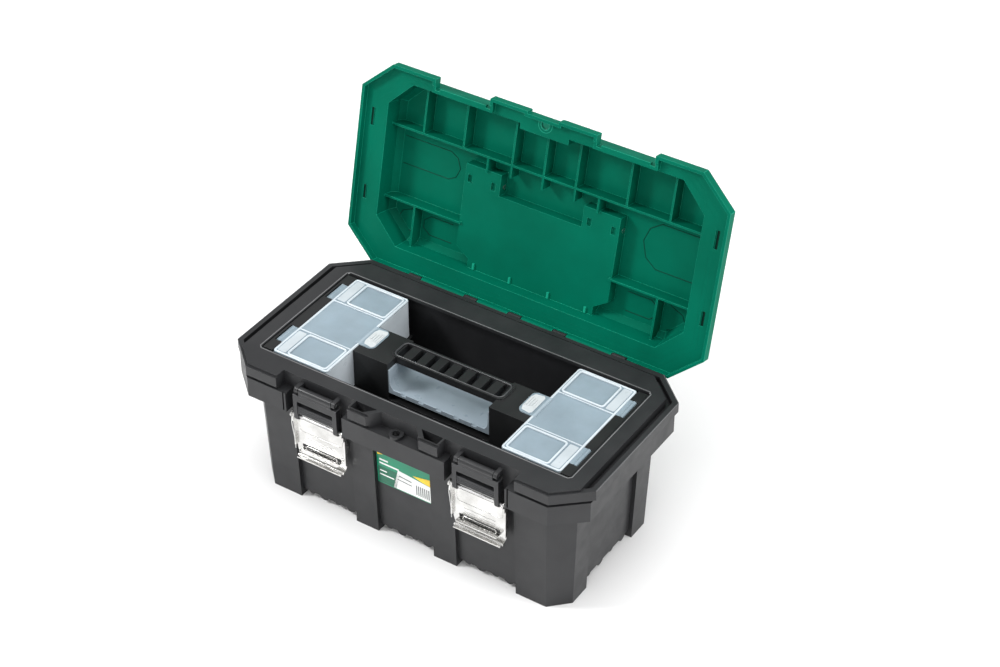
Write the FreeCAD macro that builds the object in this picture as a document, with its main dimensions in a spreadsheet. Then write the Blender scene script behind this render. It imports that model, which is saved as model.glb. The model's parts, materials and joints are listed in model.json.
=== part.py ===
import FreeCAD, Part
import os
import Sketcher

# Toolbox with a lift-out tray: a black moulded tub, a green lid that stands open on a rear
# hinge, two steel draw latches, a folding carry handle and a tray with clear-lidded bins.
# Frame: X along the length, Y to the hinge side, Z up, origin at the centre of the underside.
# Lid parts are drawn closed and then swung open about the hinge line by their Placement.

DIMENSIONS = [
    ("deck_height", 156, "top of the tub's rim deck above the ground"),
    ("rim_half_length", 199.6, "outer rim, centre to end"),
    ("rim_front", -99.5, "outer rim, front face"),
    ("rim_rear", 103.4, "outer rim, rear face"),
    ("rim_front_cut_x", 32, "front corner cut along the length"),
    ("rim_front_cut_y", 28.5, "front corner cut along the depth"),
    ("rim_rear_cut_x", 31.5, "rear corner cut along the length"),
    ("rim_rear_cut_y", 28.5, "rear corner cut along the depth"),
    ("rim_drop", 2.5, "deck to the top of the outer rim"),
    ("lip_thick", 5.4, "outer rim beside the groove"),
    ("groove_drop", 9, "deck to the floor of the groove"),
    ("groove_front", -73, "front end of the groove"),
    ("deck_half_length", 188, "deck, centre to end"),
    ("deck_front", -97.3, "deck, front edge"),
    ("deck_rear", 94.5, "deck, rear edge"),
    ("deck_front_cut_x", 21.2, "deck, front corner cut along the length"),
    ("deck_front_cut_y", 18.9, "deck, front corner cut along the depth"),
    ("deck_rear_cut_x", 26, "deck, rear corner cut along the length"),
    ("deck_rear_cut_y", 23.5, "deck, rear corner cut along the depth"),
    ("deck_thick", 3, "thickness of the deck"),
    ("bead_drop", 13, "deck to the underside of the rim"),
    ("neck_drop", 16, "deck to the top of the skirt"),
    ("skirt_drop", 38, "deck to the bottom of the skirt"),
    ("skirt_half_length", 196, "skirt, centre to end"),
    ("skirt_rear", 100, "skirt, rear face"),
    ("skirt_front_cut_x", 29, "skirt, front corner cut along the length"),
    ("skirt_front_cut_y", 26, "skirt, front corner cut along the depth"),
    ("skirt_rear_cut_x", 28, "skirt, rear corner cut along the length"),
    ("skirt_rear_cut_y", 25, "skirt, rear corner cut along the depth"),
    ("label_half_width", 31, "front label, centre to side"),
    ("label_low", 63, "bottom of the front label"),
    ("label_height", 45, "height of the front label"),
    ("label_thick", 0.4, "thickness of the front label"),
    ("mouth_half_length", 172, "tray opening, centre to end"),
    ("mouth_half_depth", 70.5, "tray opening, centre to side"),
    ("foot_half_length", 175, "outside of the corner posts at the ground"),
    ("foot_half_depth", 83, "outside of the posts at the ground"),
    ("foot_cut", 18, "corner cut of the posts"),
    ("draft", 2.2, "wall draft in degrees"),
    ("post_proud", 4, "posts stand out from the panels"),
    ("foot_rise", 7, "underside of the floor above the ground"),
    ("scallop_radius", 5, "scallops along the bottom of the panels"),
    ("scallop_reach_x", 170.8, "scallops, centre to the end panel"),
    ("scallop_reach_y", 78.8, "scallops, centre to the front panel"),
    ("shell", 2.6, "wall thickness"),
    ("floor_thick", 3, "floor thickness"),
    ("latch_centre", 89.5, "latch centre from the middle"),
    ("recess_wall", 87, "front of the deck inside the latch recesses"),
    ("link_pivot_y", -94.5, "latch pivots, depth"),
    ("link_pivot_drop", 9, "upper latch pivot below the deck"),
    ("link_length", 32, "distance between the two latch pivots"),
    ("latch_pin_radius", 1.5, "latch pin radius"),
    ("plate_half_width", 30, "half width of the latch plate"),
    ("plate_length", 52, "latch plate below its pivot"),
    ("plate_set_back", 5.2, "plate plane behind its pivot"),
    ("steel", 1.2, "latch plate thickness"),
    ("hinge_y", 105.9, "lid hinge line, depth"),
    ("hinge_drop", 6.5, "lid hinge line below the deck"),
    ("hinge_rod_radius", 1.6, "hinge rod radius"),
    ("knuckle_radius", 3.5, "hinge knuckle radius"),
    ("knuckle_width", 14, "length of the tub's hinge knuckles"),
    ("lid_open_angle", 103, "lid angle at its open stop, degrees"),
    ("lid_hang", 6.4, "deck to the bottom of the closed lid's edge"),
    ("lid_half_length", 203, "lid, centre to end"),
    ("lid_front", -103, "front edge of the lid"),
    ("lid_rear", 106.8, "rear edge of the lid"),
    ("lid_cut_x", 33, "lid corner cut along the length"),
    ("lid_cut_y", 30, "lid corner cut along the depth"),
    ("lid_notch_y", -91.5, "lid edge inside the latch notches"),
    ("lid_tab_y", -100.5, "lid edge at the padlock tab"),
    ("brim_thick", 2.6, "brim thickness"),
    ("crown_half_length", 178, "lid crown, centre to end"),
    ("crown_front", -90, "front of the crown"),
    ("crown_rear", 88, "rear of the crown"),
    ("crown_cut", 28, "crown corner cut"),
    ("crown_height", 28, "crown above the deck"),
    ("crown_bevel", 6, "bevel round the top of the crown"),
    ("crown_draft", 4, "draft of the crown walls, degrees"),
    ("rib_depth", 15, "lid ribs, down from the ceiling"),
    ("rib_thick", 2, "lid rib thickness"),
    ("well_drop", 12.4, "depth of the carry handle well"),
    ("well_half_length", 84, "carry handle well, centre to end"),
    ("ear_inner", 49, "inner side of the handle pivot ears"),
    ("handle_pivot_y", -8, "carry handle pivot line, lid closed"),
    ("handle_pin_radius", 2.5, "carry handle pin radius"),
    ("handle_half_width", 80, "carry handle, centre to end"),
    ("handle_reach", 62, "far side of the grip, lid closed"),
    ("handle_hang_angle", 13, "handle swung out of its well when the lid is open, degrees"),
    ("padlock_y", -92.5, "padlock hole centre, depth"),
    ("padlock_radius", 4, "padlock hole radius"),
    ("scoop_half_length", 24, "padlock scoop in the crown, centre to end"),
    ("scoop_rear", -83.6, "rear of the padlock scoop"),
    ("post_inner", 57, "tray posts, inner side"),
    ("bin_inner", 97, "bins, inner side"),
    ("bin_outer", 160.5, "bins, outer side"),
    ("bin_half_depth", 68, "bins, centre to front or rear"),
    ("bin_drop", 44, "deck to the underside of the bins"),
    ("bin_wall", 1.6, "bin wall thickness"),
    ("frame_outer", 171, "end frames, outer side"),
    ("ledge_drop", 6, "deck to the tray ledge"),
    ("bin_hinge_x", 165.5, "bin lid hinge line"),
    ("bin_hinge_drop", 3, "bin lid hinge line below the deck"),
    ("bin_bar_radius", 1.35, "hinge bar in the end frame"),
    ("bin_barrel_radius", 2.6, "bin lid hinge barrel"),
    ("grip_half_length", 63, "tray grip, centre to end"),
    ("grip_half_depth", 13, "tray grip, centre to side"),
    ("grip_slot_pitch", 15.6, "spacing of the slots in the tray grip"),
    ("trough_drop", 34, "deck to the floor of the centre trough"),
    ("tray_bottom_drop", 46, "deck to the underside of the tray"),
]

KNUCKLES_BASE = (-117, -51, 0, 51, 117)
KNUCKLES_LID = ((-84, 25), (-25.5, 17.5), (25.5, 17.5), (84, 25))
SCALLOPS_X = (-114, -99, -83, -68, -22, -7.5, 7.5, 22, 68, 83, 99, 114)
SCALLOPS_Y = (-30, -10, 10, 30)
FRONT_RIBS = (-137.5, -91, -35.5, 0, 35.5, 91, 137.5)
SIDES = (("left", -1), ("right", 1))
PLANES = {
    "XY": FreeCAD.Rotation(),
    "YZ": FreeCAD.Rotation(
        FreeCAD.Vector(0, 1, 0), FreeCAD.Vector(0, 0, 1), FreeCAD.Vector(1, 0, 0), "ZXY"
    ),
    "XZ": FreeCAD.Rotation(
        FreeCAD.Vector(1, 0, 0), FreeCAD.Vector(0, 0, 1), FreeCAD.Vector(0, -1, 0), "ZXY"
    ),
}
OFFSET_AXIS = {"XY": "z", "YZ": "x", "XZ": "y"}
TURN = {"X": (0, 1, 0, 90), "Y": (1, 0, 0, -90), "Z": (0, 0, 1, 0)}

doc = FreeCAD.newDocument("toolbox_with_tray")
sheet = doc.addObject("Spreadsheet::Sheet", "dims")
for row, (alias, value, note) in enumerate(DIMENSIONS, start=1):
    sheet.set(f"A{row}", note)
    sheet.set(f"B{row}", str(value))
    sheet.setAlias(f"B{row}", alias)
doc.recompute()

nodes = []


# ---- small parametric helpers: every size is an expression on the sheet ----
def full(expression):
    """An expression in which bare aliases are looked up in the sheet."""
    words = str(expression)
    out = ""
    word = ""
    for letter in words + " ":
        if letter.isalnum() or letter in "_.":
            word += letter
            continue
        known = word and word[0].isalpha() and word not in ("tan", "cos", "sin")
        out += ("dims." + word if known else word) + letter
        word = ""
    return out.strip()


def bind(thing, **sizes):
    for name, expression in sizes.items():
        thing.setExpression(name, full(expression))


def place(thing, x=0, y=0, z=0):
    for axis, expression in (("x", x), ("y", y), ("z", z)):
        thing.setExpression(f".Placement.Base.{axis}", full(expression))


def box(name, x, y, z):
    """A box between (low, high) pairs of expressions."""
    block = doc.addObject("Part::Box", name)
    for size, (low, high) in (("Length", x), ("Width", y), ("Height", z)):
        bind(block, **{size: f"({high}) - ({low})"})
    place(block, x[0], y[0], z[0])
    return block


def rod(name, axis, radius, start, end, across):
    """A cylinder along one axis between start and end; across holds its other two coordinates."""
    turn = TURN[axis]
    solid = doc.addObject("Part::Cylinder", name)
    bind(solid, Radius=radius, Height=f"({end}) - ({start})")
    solid.Placement.Rotation = FreeCAD.Rotation(FreeCAD.Vector(*turn[:3]), turn[3])
    spots = list(across)
    spots.insert("XYZ".index(axis), start)
    place(solid, *spots)
    return solid


def sketch(name, points, plane, level):
    """A closed polygon whose corners are pairs of expressions."""
    outline = doc.addObject("Sketcher::SketchObject", name + "_outline")
    corners = [(full(across), full(up)) for across, up in points]
    where = [
        FreeCAD.Vector(sheet.evalExpression(across), sheet.evalExpression(up), 0)
        for across, up in corners
    ]
    count = len(corners)
    for i in range(count):
        outline.addGeometry(Part.LineSegment(where[i], where[(i + 1) % count]), False)
    for i in range(count):
        outline.addConstraint(Sketcher.Constraint("Coincident", i, 2, (i + 1) % count, 1))
    for i, (across, up) in enumerate(corners):
        for kind, expression, value in (
            ("DistanceX", across, where[i].x),
            ("DistanceY", up, where[i].y),
        ):
            index = outline.addConstraint(Sketcher.Constraint(kind, -1, 1, i, 1, value))
            outline.setExpression(f"Constraints[{index}]", expression)
    outline.Placement.Rotation = PLANES[plane]
    outline.setExpression(f".Placement.Base.{OFFSET_AXIS[plane]}", full(level))
    return outline


def prism(name, points, low, high, plane="XY", taper=None):
    """A polygon pushed from low to high; a taper in degrees widens it on the way."""
    solid = doc.addObject("Part::Extrusion", name)
    flip = -1 if plane == "XZ" else 1
    start, end = (high, low) if flip < 0 else (low, high)
    solid.Base = sketch(name, points, plane, start)
    solid.DirMode = "Normal"
    solid.Solid = True
    bind(solid, LengthFwd=f"({end}) - ({start})" if flip > 0 else f"({start}) - ({end})")
    if taper:
        bind(solid, TaperAngle=taper)
    return solid


def fuse(name, parts):
    joined = doc.addObject("Part::MultiFuse", name)
    joined.Shapes = list(parts)
    return joined


def cut(name, base, tools):
    tool = tools[0] if len(tools) == 1 else fuse(name + "_tools", tools)
    carved = doc.addObject("Part::Cut", name)
    carved.Base = base
    carved.Tool = tool
    return carved


def common(name, one, other):
    shared = doc.addObject("Part::MultiCommon", name)
    shared.Shapes = [one, other]
    return shared


def rounded(name, base, radius, wanted):
    """The base with every edge for which wanted(edge) holds rounded to the radius."""
    doc.recompute()
    edges = base.Shape.Edges
    soft = doc.addObject("Part::Fillet", name)
    soft.Base = base
    soft.Edges = [(i, radius, radius) for i, edge in enumerate(edges, 1) if wanted(edge)]
    return soft


def node(label, thing):
    thing.Label = label
    nodes.append(thing)
    return thing


def octagon(half_length, front, rear, front_x, front_y, rear_x, rear_y):
    return [
        (f"-({half_length}) + {front_x}", front),
        (f"({half_length}) - ({front_x})", front),
        (half_length, f"({front}) + {front_y}"),
        (half_length, f"({rear}) - ({rear_y})"),
        (f"({half_length}) - ({rear_x})", rear),
        (f"-({half_length}) + {rear_x}", rear),
        (f"-({half_length})", f"({rear}) - ({rear_y})"),
        (f"-({half_length})", f"({front}) + {front_y}"),
    ]


def rim_outline(inset=0):
    trim = f"0.586 * ({inset})"
    return octagon(
        f"rim_half_length - ({inset})",
        f"rim_front + ({inset})",
        f"rim_rear - ({inset})",
        f"(rim_front_cut_x - {trim})",
        f"(rim_front_cut_y - {trim})",
        f"(rim_rear_cut_x - {trim})",
        f"(rim_rear_cut_y - {trim})",
    )


def deck_outline(inset=0):
    trim = f"0.586 * ({inset})"
    return octagon(
        f"deck_half_length - ({inset})",
        f"deck_front + ({inset})",
        f"deck_rear - ({inset})",
        f"(deck_front_cut_x - {trim})",
        f"(deck_front_cut_y - {trim})",
        f"(deck_rear_cut_x - {trim})",
        f"(deck_rear_cut_y - {trim})",
    )


def skirt_outline(inset=0):
    trim = f"0.586 * ({inset})"
    return octagon(
        f"skirt_half_length - ({inset})",
        f"rim_front + ({inset})",
        f"skirt_rear - ({inset})",
        f"(skirt_front_cut_x - {trim})",
        f"(skirt_front_cut_y - {trim})",
        f"(skirt_rear_cut_x - {trim})",
        f"(skirt_rear_cut_y - {trim})",
    )


def wall_outline(inset):
    trim = f"0.586 * ({inset})"
    size = f"(foot_cut - {trim})"
    depth = f"foot_half_depth - ({inset})"
    return octagon(
        f"foot_half_length - ({inset})", f"-({depth})", depth, size, size, size, size
    )


def spans(centres, half_width):
    return [(f"{c} - ({half_width})", f"{c} + ({half_width})") for c in centres]


def mirrored(low, high):
    """The same stretch of X on the right and on the left."""
    return [(low, high), (f"-({high})", f"-({low})")]


def bump_radius(index):
    """Scallops alternate between a wide and a narrow one."""
    return f"scallop_radius * {1.15 if index % 2 else 0.85}"


# ---- tub ----
def base_shell():
    top = "deck_height"
    under = "deck_height - neck_drop"
    core_low = "foot_rise"
    core = prism("tub_core", wall_outline("post_proud"), core_low, under, taper="draft")
    posts = prism("tub_posts", wall_outline(0), 0, under, taper="draft")
    zones = []
    for i, (x, y) in enumerate(
        [(a, b) for a in mirrored(124, 230) for b in mirrored(41, 130)]
        + [(a, b) for a in mirrored(32, 58) for b in mirrored(60, 130)]
    ):
        zones.append(box(f"post_zone_{i}", x, y, (0, under)))
    posts = common("tub_post_set", posts, fuse("post_zones", zones))
    bead_low = "deck_height - bead_drop"
    rim = [
        prism("skirt", skirt_outline(), "deck_height - skirt_drop", under),
        prism("neck", skirt_outline(3), under, bead_low),
        prism("bead", rim_outline(), bead_low, "deck_height - rim_drop"),
        prism("deck", deck_outline(), bead_low, top),
    ]
    ribs = []
    for i, x in enumerate(SCALLOPS_X):
        ribs.append(
            rod(
                f"scallop_x_{i}",
                "Y",
                bump_radius(i),
                "-scallop_reach_y",
                "scallop_reach_y",
                (x, "foot_rise + 2"),
            )
        )
    for i, y in enumerate(SCALLOPS_Y):
        for j, span in enumerate(mirrored(100, "scallop_reach_x")):
            ribs.append(rod(f"scallop_y_{i}_{j}", "X", bump_radius(i), *span, (y, "foot_rise + 2")))
    runner = box("floor_runner", (-30, 30), (-15, 15), (0, "foot_rise + 1"))
    solid = fuse("tub_solid", [core, posts, *rim, *ribs, runner])

    inner = prism(
        "cavity",
        wall_outline("post_proud + shell"),
        "foot_rise + floor_thick",
        "deck_height - deck_thick",
        taper="draft",
    )
    mouth = box(
        "mouth",
        ("-mouth_half_length", "mouth_half_length"),
        ("-mouth_half_depth", "mouth_half_depth"),
        ("deck_height - 30", "deck_height + 1"),
    )
    hollow_low = "deck_height - skirt_drop - 1"
    neck_low = "deck_height - neck_drop - 2.5"
    channel_outer = fuse(
        "channel_outer",
        [
            prism("channel_skirt", skirt_outline(3), hollow_low, neck_low),
            prism("channel_neck", deck_outline(2.5), neck_low, "deck_height - deck_thick"),
        ],
    )
    channel_inner = prism(
        "channel_inner", wall_outline("-4.6"), hollow_low, "deck_height - deck_thick", taper="draft"
    )
    front_block = box("front_block", (-138, 138), (-110, -80), (hollow_low, "deck_height"))
    channel = cut("channel", channel_outer, [channel_inner, front_block])
    groove_low = "deck_height - groove_drop"
    groove = cut(
        "groove",
        prism("groove_outer", rim_outline("lip_thick"), groove_low, "deck_height"),
        [
            prism("groove_inner", deck_outline(), "deck_height - 12", "deck_height + 1"),
            box("groove_end", (-230, 230), (-120, "groove_front"), (groove_low, "deck_height")),
        ],
    )
    holes = [inner, mouth, channel, groove]
    low = "deck_height - skirt_drop - 1"
    high = "deck_height + 1"
    for i, x in enumerate(mirrored(50, 132)):
        holes.append(box(f"bead_gap_{i}", x, (-110, "-recess_wall"), ("deck_height - neck_drop", high)))
    for i, x in enumerate(mirrored(57, 122)):
        holes.append(box(f"latch_gap_{i}", x, (-110, "-recess_wall"), (low, high)))
    shelf = "deck_height - neck_drop"
    for side, sign in SIDES:
        pocket = [(24.6, "-recess_wall"), (34, -97), (48.2, -97), (48.2, "-recess_wall")]
        pocket = [(f"{sign} * {x}", y) for x, y in pocket]
        holes.append(prism(f"cup_{side}", pocket, shelf, high))
    gap = [(-33, -104), (33, -104), (19.5, "-recess_wall"), (-19.5, "-recess_wall")]
    holes.append(prism("padlock_gap", gap, shelf, high))
    holes.append(
        box("skirt_hollow", (-54, 54), (-96, -88.5), (low, "deck_height - neck_drop - 3"))
    )
    for i, (centre, half) in enumerate(KNUCKLES_LID):
        x = (centre - half - 0.8, centre + half + 0.8)
        holes.append(box(f"rim_notch_{i}", x, (101.9, 106), ("deck_height - 14", "deck_height")))
    for i, x in enumerate(mirrored(124.2, 125.8)):
        holes.append(
            box(f"skirt_slit_{i}", x, (-101, -97.5), ("deck_height - 37", "deck_height - neck_drop"))
        )
    carved = cut("tub_carved", solid, holes)

    extras = []
    for i, x in enumerate(mirrored("bin_outer + 2.6", 176)):
        z = ("deck_height - ledge_drop - 3", "deck_height - ledge_drop")
        extras.append(box(f"tray_ledge_{i}", x, (-60, 60), z))
    pivot_z = "deck_height - link_pivot_drop"
    for side, sign in SIDES:
        for i, offset in enumerate((-21.2, 21.2)):
            middle = f"{sign} * latch_centre + ({offset})"
            x = (f"{middle} - 2", f"{middle} + 2")
            extras.append(
                box(
                    f"latch_lug_{side}_{i}",
                    x,
                    ("link_pivot_y", -86),
                    (f"{pivot_z} - 3.5", f"{pivot_z} + 3.5"),
                )
            )
            extras.append(rod(f"latch_eye_{side}_{i}", "X", 3.5, *x, ("link_pivot_y", pivot_z)))
    hinge_z = "deck_height - hinge_drop"
    for i, x in enumerate(spans(KNUCKLES_BASE, "knuckle_width / 2")):
        extras.append(box(f"base_web_{i}", x, (101, "hinge_y"), (f"{hinge_z} - knuckle_radius", hinge_z)))
        extras.append(rod(f"base_knuckle_{i}", "X", "knuckle_radius", *x, ("hinge_y", hinge_z)))
    extras.append(
        rod("padlock_boss", "Z", 7, "deck_height - neck_drop - 1", "deck_height - 13", (0, "padlock_y"))
    )
    bores = [
        rod("hinge_bore", "X", "hinge_rod_radius + 0.05", -130, 130, ("hinge_y", hinge_z)),
        rod(
            "padlock_bore",
            "Z",
            "padlock_radius",
            "deck_height - neck_drop - 3",
            "deck_height - 12",
            (0, "padlock_y"),
        ),
    ]
    for side, sign in SIDES:
        middle = f"{sign} * latch_centre"
        bores.append(
            rod(
                f"latch_bore_{side}",
                "X",
                "latch_pin_radius + 0.02",
                f"{middle} - 24",
                f"{middle} + 24",
                ("link_pivot_y", pivot_z),
            )
        )
    node("base_shell", cut("tub", fuse("tub_with_lugs", [carved, *extras]), bores))


def front_label():
    """A thin sticker that lies on the drafted centre panel."""
    width = ("-label_half_width", "label_half_width")
    label = box("sticker", width, (0, "label_thick"), (0, "label_height"))
    label.Placement.Rotation = FreeCAD.Rotation(
        FreeCAD.Vector(1, 0, 0), sheet.evalExpression("dims.draft")
    )
    depth = "-(foot_half_depth - post_proud) - (label_low - foot_rise) * tan(draft) - 0.42"
    place(label, "-label_half_width", depth, "label_low")
    node("front_label", label)


# ---- latches ----
def latch(side, sign):
    middle = f"{sign} * latch_centre"
    upper = ("link_pivot_y", "deck_height - link_pivot_drop")
    lower = ("link_pivot_y", "deck_height - link_pivot_drop - link_length")
    top_z, low_z = upper[1], lower[1]
    y = ("link_pivot_y - 3.6", "link_pivot_y + 3.6")

    def across(low, high):
        return (f"{middle} + ({low})", f"{middle} + ({high})")

    parts = [
        rod(f"barrel_{side}", "X", 3.6, *across(-18.5, 18.5), upper),
        box(
            f"upper_bar_{side}",
            across(-25, 25),
            (y[0], "link_pivot_y + 1.5"),
            (f"{top_z} - 12", f"{top_z} - 4.5"),
        ),
        box(
            f"neck_bar_{side}",
            across(-18.5, 18.5),
            ("link_pivot_y - 3.2", "link_pivot_y + 1.5"),
            (f"{top_z} - 5", top_z),
        ),
        box(
            f"lower_bar_{side}",
            across(-21, 21),
            ("link_pivot_y - 2.4", "link_pivot_y + 2.4"),
            (f"{low_z} + 5", f"{low_z} + 14"),
        ),
    ]
    for i in range(4):
        z = f"{low_z} + {6 + 2.2 * i}"
        parts.append(
            box(
                f"ridge_{side}_{i}",
                across(-20, 20),
                ("link_pivot_y - 3.1", "link_pivot_y - 2"),
                (z, f"{z} + 1.1"),
            )
        )
    for i, (low, high) in enumerate(((-25, -20.5), (20.5, 25))):
        parts.append(box(f"arm_{side}_{i}", across(low, high), y, (low_z, f"{top_z} - 4.5")))
        parts.append(rod(f"arm_end_{side}_{i}", "X", 3.6, *across(low, high), lower))
    bores = [
        rod(f"link_bore_{side}_{i}", "X", "latch_pin_radius + 0.06", *across(-26, 26), spot)
        for i, spot in enumerate((upper, lower))
    ]
    node(f"latch_link_{side}", cut(f"link_{side}", fuse(f"link_body_{side}", parts), bores))
    node(
        f"latch_pin_upper_{side}",
        rod(f"pin_upper_{side}", "X", "latch_pin_radius", *across(-23.2, 23.2), upper),
    )
    node(
        f"latch_pin_lower_{side}",
        rod(f"pin_lower_{side}", "X", "latch_pin_radius", *across(-30.4, 30.4), lower),
    )

    back = "link_pivot_y + plate_set_back"
    front = f"{back} - steel"
    bottom = f"{low_z} - plate_length"
    face = [
        (f"{middle} - 22", f"{low_z} + 3.8"),
        (f"{middle} + 22", f"{low_z} + 3.8"),
        (f"{middle} + 22", f"{low_z} - 5"),
        (f"{middle} + plate_half_width", f"{low_z} - 5"),
        (f"{middle} + plate_half_width - 1", f"{bottom} + 9"),
        (f"{middle} + plate_half_width - 4", bottom),
        (f"{middle} - plate_half_width + 4", bottom),
        (f"{middle} - plate_half_width + 1", f"{bottom} + 9"),
        (f"{middle} - plate_half_width", f"{low_z} - 5"),
        (f"{middle} - 22", f"{low_z} - 5"),
    ]
    sheet_parts = [prism(f"plate_face_{side}", face, front, back, plane="XZ")]
    sheet_parts.append(
        box(
            f"plate_catch_{side}",
            across(-22.5, 22.5),
            (f"{front} - 6.8", front),
            (f"{low_z} - 42.2", f"{low_z} - 41"),
        )
    )
    sheet_parts.append(
        box(
            f"plate_foot_{side}",
            across(-25.8, 25.8),
            (f"{front} - 6", front),
            (bottom, f"{bottom} + steel"),
        )
    )
    flanges = (
        ("-plate_half_width", "-plate_half_width + steel"),
        ("plate_half_width - steel", "plate_half_width"),
    )
    for i, (low, high) in enumerate(flanges):
        x = (f"{middle} + ({low})", f"{middle} + ({high})")
        sheet_parts.append(
            box(
                f"plate_flange_{side}_{i}",
                x,
                (f"{front} - 3", front),
                (f"{bottom} + 12", f"{low_z} - 5"),
            ),
        )
        sheet_parts.append(
            box(f"plate_ear_{side}_{i}", x, ("link_pivot_y - 1", back), (f"{low_z} - 9", low_z)),
        )
        sheet_parts.append(rod(f"plate_eye_{side}_{i}", "X", 3.4, *x, lower))
    slot = box(
        f"plate_slot_{side}",
        across(-22.5, 22.5),
        (f"{front} - 1", f"{back} + 1"),
        (f"{low_z} - 40.8", f"{low_z} - 37"),
    )
    bore = rod(f"plate_bore_{side}", "X", "latch_pin_radius + 0.06", *across(-32, 32), lower)
    node(
        f"latch_plate_{side}",
        cut(f"plate_{side}", fuse(f"plate_body_{side}", sheet_parts), [slot, bore]),
    )


# ---- lid ----
def lid_outline(inset):
    """The lid edge: corner cuts, two latch notches and the padlock tab between two horns."""
    trim = f"0.586 * {inset}"
    right = [
        (f"17 + {inset}", f"lid_tab_y + {inset}"),
        (f"17 + {inset}", f"lid_front + {inset}"),
        (f"58.5 - {inset}", f"lid_front + {inset}"),
        (f"58.5 - {inset}", f"lid_notch_y + {inset}"),
        (f"120.5 + {inset}", f"lid_notch_y + {inset}"),
        (f"120.5 + {inset}", f"lid_front + {inset}"),
        (f"lid_half_length - {inset} - (lid_cut_x - {trim})", f"lid_front + {inset}"),
        (f"lid_half_length - {inset}", f"lid_front + {inset} + lid_cut_y - {trim}"),
        (f"lid_half_length - {inset}", f"lid_rear - {inset} - (lid_cut_y - {trim})"),
        (f"lid_half_length - {inset} - (lid_cut_x - {trim})", f"lid_rear - {inset}"),
    ]
    return right + [(f"-({x})", y) for x, y in reversed(right)]


def crown_outline(inset):
    trim = f"0.586 * ({inset})"
    size = f"(crown_cut - {trim})"
    return octagon(
        f"crown_half_length - ({inset})",
        f"crown_front + ({inset})",
        f"crown_rear - ({inset})",
        size,
        size,
        size,
        size,
    )


def crown(name, inset, low, drop):
    """A drafted crown with a bevelled top; drop lowers its top and inset moves its walls in."""
    turn = f"deck_height + crown_height - crown_bevel - ({drop})"
    draft_in = f"(({turn}) - ({low})) * tan(crown_draft)"
    lower = prism(f"{name}_wall", crown_outline(inset), low, turn, taper="-crown_draft")
    upper = prism(
        f"{name}_bevel",
        crown_outline(f"({inset}) + {draft_in}"),
        turn,
        f"deck_height + crown_height - ({drop})",
        taper=-40,
    )
    return [lower, upper]


def well_outline(grow):
    """The handle well: two pivot ears at the front and a wide pocket behind them."""
    right = [
        (f"ear_inner - {grow}", f"2 - {grow}"),
        (f"ear_inner - {grow}", f"-20 - {grow}"),
        (f"well_half_length + {grow}", f"-20 - {grow}"),
        (f"well_half_length + {grow}", f"62 + {grow}"),
        (f"69 + {grow}", f"72 + {grow}"),
        (f"69 + {grow}", f"80 + {grow} * 3"),
    ]
    return right + [(f"-({x})", y) for x, y in reversed(right)]


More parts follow.
